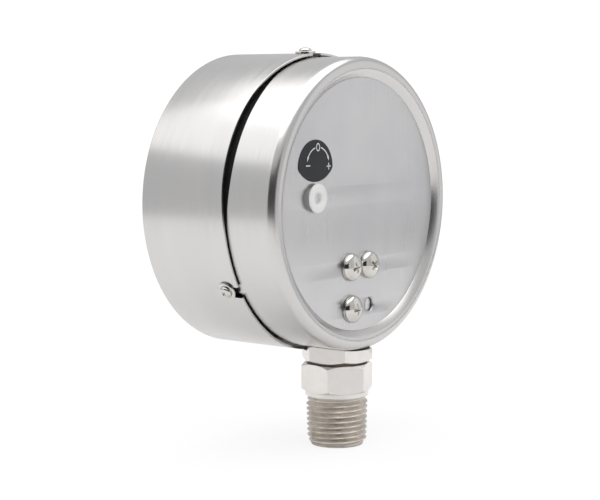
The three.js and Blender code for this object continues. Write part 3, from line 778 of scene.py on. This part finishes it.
marks = [
    [arc_band(PRINT_X, PRINT_Z, PRINT_R, 0.36, 28, 76)],
    [arc_band(PRINT_X, PRINT_Z, PRINT_R, 0.36, 104, 152)],
    [arrow_tip(30, -1)],
    [arrow_tip(150, 1)],
    [oval(PRINT_X, PRINT_Z + PRINT_R, 1.0, 1.35), oval(PRINT_X, PRINT_Z + PRINT_R, 0.68, 1.0)],
    [[(28.6, 14.05), (30.8, 14.05), (30.8, 14.4), (28.6, 14.4)]],
    [[(17.6, 13.55), (19.8, 13.55), (19.8, 13.9), (17.6, 13.9)]],
    [[(18.53, 12.6), (18.87, 12.6), (18.87, 14.85), (18.53, 14.85)]],
]
prints = [curve_sheet(f"mark_{k}", loops, DISC_BACK_Y + 0.27, 0.03) for k, loops in enumerate(marks)]
label_print = merged("label_print", prints)
label_print.data.materials.append(LABEL_PRINT)
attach(label_print, "case")

plug_profile = [(ON_AXIS, -2.2), (2.5, -2.2), (2.8, 0.06), (3.2, 0.06), (3.3, 0.2), (3.3, 1.2), (4.7, 1.2),
                (4.8, 1.3), (4.8, 1.6), (4.65, 1.73), (2.1, 1.74), (1.93, 1.6), (1.9, 0.3), (ON_AXIS, 0.22)]
plug = lathe_z("zero_plug_fine", plug_profile, 96, smooth_angle=50)
moved(plug, shifted(PLUG_AT[0], DISC_BACK_Y, PLUG_AT[1]) @ FACE_BACK)
finish_piece(plug, WHITE_PLUG, "zero_plug", "zero_plug")


# ---------- stem ----------
def hexagon(radius, turn):
    return [(radius * math.sin(math.radians(turn + 60 * k)), radius * math.cos(math.radians(turn + 60 * k)))
            for k in range(6)][::-1]


def chamfered_hex(name, turn, z0, z1, chamfer):
    """A hexagon turned off at both ends, so that each flat meets the chamfer in a curve."""
    block = prism(name, hexagon(HEX_R, turn), z0, z1)
    face_r = HEX_R * 0.87
    corner_r = HEX_R + 0.05
    profile = [(ON_AXIS, z0), (face_r, z0), (corner_r, z0 + chamfer), (corner_r, z1 - chamfer), (face_r, z1),
               (ON_AXIS, z1)]
    cone = lathe_z("cone", profile, 160)
    return boolean(block, cone, "INTERSECT")


def cutter_z(radius, z0, z1):
    """A plain rod along Z, used to cut a bore."""
    return lathe_z("tool", [(ON_AXIS, z0), (radius, z0), (radius, z1), (ON_AXIS, z1)])


def lock_nut():
    nut = chamfered_hex("lock_nut_fine", NUT_TURN, NUT_BOTTOM_Z, -47.6, 0.95)
    for radius, y0, y1 in ((CASE_R + 0.15, -20, 20), (HOUSING_R + 0.15, -20, -5.2)):
        hollow = lathe_y("tool", [(ON_AXIS, y0), (radius, y0), (radius, y1), (ON_AXIS, y1)])
        boolean(nut, hollow, "DIFFERENCE")
    boolean(nut, cutter_z(NECK_SLOT_HALF, -60, -40), "DIFFERENCE")
    bevel(nut, 0.12, 2, 25)
    shade(nut, 30)
    return nut


def fitting_hex():
    block = chamfered_hex("process_fitting_hex", FITTING_TURN, FITTING_HEX_Z, FITTING_TOP_Z, 1.0)
    profile = [(ON_AXIS, -61.6), (NECK_SLOT_HALF, -61.6), (NECK_SLOT_HALF, -50), (ON_AXIS, -50)]
    boolean(block, lathe_z("tool", profile), "DIFFERENCE")
    boolean(block, cutter_z(BORE_R, -90, -50), "DIFFERENCE")
    bevel(block, 0.15, 2, 25)
    shade(block, 30)
    return block


def helical_thread(name, radius_at, z_top, z_end, pitch, depth, core_r, turn_steps=96):
    """A closed tube with a helical thread outside: small flats on crest and root, run out at both ends."""
    samples = 10
    length = z_top - z_end
    rows = int(length / pitch * samples)
    points = []
    for i in range(rows + 1):
        z = z_top - length * i / rows
        for k in range(turn_steps):
            phase = ((z_top - z) / pitch + k / turn_steps) % 1
            ridge = min(max(1.25 * (1 - abs(2 * phase - 1)) - 0.12, 0), 1)
            fade = min((z_top - z) / pitch, (z - z_end) / (pitch * 1.2), 1)
            crest = radius_at((z_top - z) / length)
            radius = crest - depth + depth * ridge * max(fade, 0)
            around = TAU * k / turn_steps
            points.append((radius * math.cos(around), radius * math.sin(around), z))
    faces = grid_faces(rows + 1, turn_steps, False, True)
    count = len(points)
    for z in (z_end, z_top):
        for k in range(turn_steps):
            around = TAU * k / turn_steps
            points.append((core_r * math.cos(around), core_r * math.sin(around), z))
    last = rows * turn_steps
    for k in range(turn_steps):
        nxt = (k + 1) % turn_steps
        faces.append((last + k, last + nxt, count + nxt, count + k))
        faces.append((count + k, count + nxt, count + turn_steps + nxt, count + turn_steps + k))
        faces.append((count + turn_steps + k, count + turn_steps + nxt, nxt, k))
    return place(name, points, faces, 60)


def fitting_relief():
    r = HEX_R - 1.8
    profile = [(BORE_R, FITTING_HEX_Z + 0.1), (r - 0.2, FITTING_HEX_Z + 0.1), (r, FITTING_HEX_Z - 0.1),
               (r, THREAD_TOP_Z + 0.35), (r - 0.4, THREAD_TOP_Z), (BORE_R, THREAD_TOP_Z - 0.05)]
    return lathe_z("process_fitting_relief", profile, 128)


def taper(share):
    return THREAD_R + (THREAD_END_R - THREAD_R) * share


finish_piece(lock_nut(), STEM_STEEL, "lock_nut")
hex_piece = fitting_hex()
relief_piece = fitting_relief()
thread_piece = helical_thread("process_fitting_thread", taper, THREAD_TOP_Z, THREAD_END_Z, THREAD_PITCH,
                              THREAD_DEPTH, BORE_R)
finish_piece(hex_piece, STEM_STEEL, "process_fitting")
for extra, look in ((relief_piece, STEM_STEEL), (thread_piece, THREAD_STEEL)):
    extra.data.materials.append(look)
    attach(extra, "case")

seal = lathe_z("neck_seal_fine", [(7.3, -54.1), (10.3, -54.1), (10.4, -54.2), (10.4, -54.6), (10.3, -54.7),
                                  (7.3, -54.7)])
finish_piece(seal, SEAL_AND_GAP_SHADE, "neck_seal")


# ---------- window and key ----------
pane = lathe_y("window_fine", [(WINDOW_HOLE_R, WINDOW_BACK_Y), (WINDOW_HOLE_R, WINDOW_FRONT_Y + 0.2),
                               (WINDOW_HOLE_R + 0.2, WINDOW_FRONT_Y), (WINDOW_R - 0.3, WINDOW_FRONT_Y),
                               (WINDOW_R, WINDOW_FRONT_Y + 0.3), (WINDOW_R, WINDOW_BACK_Y)])
finish_piece(pane, GLASS, "window")

bush = lathe_y("window_bush_fine", [(2.6, -35.5), (2.6, -42.6), (5.3, -42.6), (5.6, -42.3), (5.6, -41),
                                    (3.8, -41), (3.8, -35.5)], segments=96)
finish_piece(bush, NICKEL, "window_bush")


def knurled_key():
    """The adjusting key: a ribbed knob with a coin slot on a thin shaft."""
    def profile(angle):
        rib = 0.22 * (0.5 + 0.5 * math.cos(math.radians(angle * 24)))
        r = 5.2 - rib
        return [(ON_AXIS, -47.4), (r - 0.7, -47.4), (r, -46.8), (r, -44.2), (r - 0.5, -43.7), (1.45, -43.7),
                (1.45, -32.6), (ON_AXIS, -32.6)]

    key = lathe_y("adjust_key_fine", profile, segments=192)
    boolean(key, box_piece("tool", (-7, -49, -0.6), (7, -46.6, 0.6)), "DIFFERENCE")
    shade(key, 35)
    return key


finish_piece(knurled_key(), KEY_BLACK, "adjust_key", "adjust_key")


# ---------- dial ----------
def dial_angle(share):
    """Share of full scale to the angle from +X towards +Z."""
    return math.radians(ZERO_ANGLE - SWEEP * share)


def tick(share, inner, outer, half):
    angle = dial_angle(share)
    out = Vector((math.cos(angle), math.sin(angle)))
    side = Vector((-out.y, out.x)) * half
    corners = [out * inner - side, out * outer - side, out * outer + side, out * inner + side]
    return [(c.x, c.y) for c in corners]


def numeral(text, share, radius, size):
    curve = bpy.data.curves.new(f"numeral_{text}", "FONT")
    curve.body = text
    curve.size = size * MM
    curve.align_x = "CENTER"
    curve.align_y = "CENTER"
    curve.extrude = 0.015 * MM
    helper = bpy.data.objects.new("numeral", curve)
    bpy.context.scene.collection.objects.link(helper)
    bpy.context.view_layer.update()
    mesh = bpy.data.meshes.new_from_object(helper.evaluated_get(bpy.context.evaluated_depsgraph_get()))
    bpy.data.objects.remove(helper)
    angle = dial_angle(share)
    spot = Vector((radius * math.cos(angle), DIAL_FRONT_Y - 0.03, radius * math.sin(angle))) * MM
    mesh.transform(Matrix.Translation(CASE_CENTRE + spot) @ Matrix.Rotation(math.pi / 2, 4, "X"))
    piece = bpy.data.objects.new(f"numeral_{text}", mesh)
    bpy.context.scene.collection.objects.link(piece)
    return piece


def dial_print():
    pieces = []
    for k in range(101):
        inner, half = (36.8, 0.3) if k % 10 == 0 else (38.2, 0.2) if k % 5 == 0 else (39.2, 0.1)
        pieces.append(curve_sheet(f"tick_{k}", [tick(k / 100, inner, 41, half)], DIAL_FRONT_Y - 0.03, 0.03))
    loop = arc_band(0, 0, 41.2, 0.3, math.degrees(dial_angle(1)), math.degrees(dial_angle(0)), 120)
    pieces.append(curve_sheet("scale_arc", [loop], DIAL_FRONT_Y - 0.03, 0.03))
    for k in range(0, 11):
        pieces.append(numeral(str(k), k / 10, 32.4, 6.2))
    return merged("dial_print", pieces)


def dial_face():
    holes = [circle(0, 0, 3, 32), circle(-6, -14, 1.2, 20), circle(10, -6, 1.2, 20), circle(0, 42.5, 1.2, 20),
             circle(0, -42.5, 1.2, 20)]
    return curve_sheet("dial_fine", [circle(0, 0, DIAL_R, 192)] + holes, DIAL_FRONT_Y + 0.4, 0.8, 0.1)


finish_piece(dial_face(), DIAL_WHITE, "dial")
scale_print = dial_print()
scale_print.data.materials.append(PRINT_BLACK)
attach(scale_print, "case")


# ---------- electrical receptacle ----------
TO_MINUS_X = Matrix.Rotation(math.pi / 2, 4, "Y")


def along_minus_x(piece):
    """Pieces turned about Z with z = x of the receptacle's axis."""
    return moved(piece, shifted(0, CONNECTOR_Y, 0) @ TO_MINUS_X)


def receptacle_flange():
    corners = [math.radians(60 * k) for k in range(6)]
    outline = [(CONNECTOR_HEX_R * math.cos(corner), CONNECTOR_HEX_R * math.sin(corner)) for corner in corners]
    flange = prism("connector_flange", outline, -56, -52)
    cone = lathe_z("cone", [(ON_AXIS, -56), (9.2, -56), (10.45, -55.2), (10.45, -52), (ON_AXIS, -52)], 120)
    boolean(flange, cone, "INTERSECT")
    boolean(flange, cutter_z(CONNECTOR_BORE_R, -60, -40), "DIFFERENCE")
    bevel(flange, 0.12, 2, 25)
    shade(flange, 30)
    return flange


barrel = helical_thread("connector_thread", lambda share: CONNECTOR_R, -56.0, CONNECTOR_TIP_X, 1.0, 0.6,
                        CONNECTOR_BORE_R, 72)
shank = lathe_z("connector_shank", [(CONNECTOR_BORE_R, -52), (6.6, -52), (6.6, -45.8),
                                    (CONNECTOR_BORE_R, -45.8)], 96)
flange = along_minus_x(receptacle_flange())
finish_piece(flange, NICKEL, "connector_body")
for extra in (barrel, shank):
    along_minus_x(extra)
    extra.data.materials.append(NICKEL)
    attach(extra, "case")
washer = along_minus_x(lathe_z("connector_seal_fine", [(6.8, -51.9), (8.6, -51.9), (8.8, -51.7), (8.8, -51.3),
                                                       (8.6, -51.1), (6.8, -51.1)], 96))
finish_piece(washer, RUBBER, "connector_seal")
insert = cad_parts["connector_insert"]
insert.data.materials.clear()
insert.data.materials.append(KEY_BLACK)


# ---------- studio ----------
CAMERA_DISTANCE = 0.5581
CAMERA_AZIMUTH = math.radians(127.985)
CAMERA_ELEVATION = math.radians(5.898)
CAMERA_ROLL = math.radians(-0.14)
CAMERA_AIM = Vector((0, -0.01604, 0.0661))
CAMERA_LENS = 95.97
ROOM_LEVEL = 0.62
TOP_LEVEL = 1.9


def camera():
    data = bpy.data.cameras.new("camera")
    data.lens = CAMERA_LENS
    data.sensor_width = 36
    data.clip_start = 0.01
    eye = bpy.data.objects.new("camera", data)
    bpy.context.scene.collection.objects.link(eye)
    out = Vector((math.sin(CAMERA_AZIMUTH) * math.cos(CAMERA_ELEVATION),
                  -math.cos(CAMERA_AZIMUTH) * math.cos(CAMERA_ELEVATION), math.sin(CAMERA_ELEVATION)))
    eye.location = CAMERA_AIM + out * CAMERA_DISTANCE
    turn = (-out).to_track_quat("-Z", "Y")
    eye.rotation_euler = (turn.to_matrix() @ Matrix.Rotation(CAMERA_ROLL, 3, "Z")).to_euler()
    bpy.context.scene.camera = eye


def towards(azimuth, elevation):
    """A direction from the case; azimuth 0 is in front of the dial and 90 is +X."""
    a = math.radians(azimuth)
    e = math.radians(elevation)
    return Vector((math.sin(a) * math.cos(e), -math.cos(a) * math.cos(e), math.sin(e)))


def soft_box(name, azimuth, elevation, distance, width, height, radiance, color=(1, 1, 1)):
    """A rectangular light that faces the case and shows in reflections with the given radiance."""
    data = bpy.data.lights.new(name, "AREA")
    data.shape = "RECTANGLE"
    data.size = width
    data.size_y = height
    data.energy = radiance * math.pi * width * height
    data.color = color
    lamp = bpy.data.objects.new(name, data)
    bpy.context.scene.collection.objects.link(lamp)
    out = towards(azimuth, elevation)
    lamp.location = CASE_CENTRE + out * distance
    lamp.rotation_euler = (-out).to_track_quat("-Z", "Y").to_euler()


def flag_card(name, azimuth, half_angle, distance, low, high, radiance, color=(1, 1, 1)):
    """A curved studio card, low to high in metres from the case centre. Only reflections see it."""
    steps = 16
    points = []
    for k in range(steps + 1):
        out = towards(azimuth - half_angle + 2 * half_angle * k / steps, 0) * distance * 1000
        points += [(out.x, out.y, low * 1000), (out.x, out.y, high * 1000)]
    faces = [(2 * k, 2 * k + 2, 2 * k + 3, 2 * k + 1) for k in range(steps)]
    card = place(name, points, faces)
    look = Look(name, (0, 0, 0), 1.0, 0.0)
    look.set(Emission_Color=(*color, 1), Emission_Strength=radiance)
    card.data.materials.append(look.material)
    card.visible_camera = False
    card.visible_shadow = False
    card.visible_diffuse = False


def studio_world():
    """White where the camera looks past the object, and an even grey room for light and reflections."""
    world = bpy.data.worlds.new("studio")
    world.use_nodes = True
    bpy.context.scene.world = world
    tree = world.node_tree
    room = tree.nodes["Background"]
    room.inputs["Color"].default_value = (0.985, 0.99, 1.0, 1)
    room.inputs["Strength"].default_value = ROOM_LEVEL
    white = tree.nodes.new("ShaderNodeBackground")
    white.inputs["Strength"].default_value = 1.05
    white.inputs["Color"].default_value = (1, 1, 1, 1)
    path = tree.nodes.new("ShaderNodeLightPath")
    mix = tree.nodes.new("ShaderNodeMixShader")
    tree.links.new(path.outputs["Is Camera Ray"], mix.inputs[0])
    tree.links.new(room.outputs[0], mix.inputs[1])
    tree.links.new(white.outputs[0], mix.inputs[2])
    tree.links.new(mix.outputs[0], tree.nodes["World Output"].inputs["Surface"])


def floor_white():
    """A pale floor that the camera sees almost shadowless."""
    look = Look("floor_white", (0.80, 0.79, 0.79), 0.7, 0.0)
    look.rough(look.noise(8, detail=2), 0.65, 0.75)
    glow = look.node("ShaderNodeEmission")
    glow.inputs["Strength"].default_value = 1.05
    seen = look.math("MULTIPLY", look.node("ShaderNodeLightPath").outputs["Is Camera Ray"], 0.80)
    mix = look.node("ShaderNodeMixShader")
    look.link(seen, mix.inputs[0])
    look.link(look.shader.outputs[0], mix.inputs[1])
    look.link(glow.outputs[0], mix.inputs[2])
    look.link(mix.outputs[0], look.tree.nodes["Material Output"].inputs["Surface"])
    return look.material


def studio():
    studio_world()
    middle = towards(52, 0) * 30
    floor = prism("floor", circle(middle.x, middle.y, 545, 96), -84.2, -83.25)
    floor.data.materials.append(floor_white())
    sun = bpy.data.lights.new("top_light", "SUN")
    sun.energy = TOP_LEVEL
    sun.angle = math.radians(85)
    lamp = bpy.data.objects.new("top_light", sun)
    bpy.context.scene.collection.objects.link(lamp)
    soft_box("key", 38, 39, 1.3, 1.1, 0.62, 0.72)
    flag_card("camera_flag", 119, 46, 0.9, -0.20, 0.40, 0.02)
    flag_card("back_wall", 232, 20, 0.95, -0.16, 0.60, 0.86, (0.99, 0.99, 1.0))
    flag_card("wall_foot", 232, 20, 0.485, -0.0832, -0.062, 0.04, (0.90, 0.95, 1.0))
    bpy.context.scene.view_settings.view_transform = "Standard"


camera()
studio()
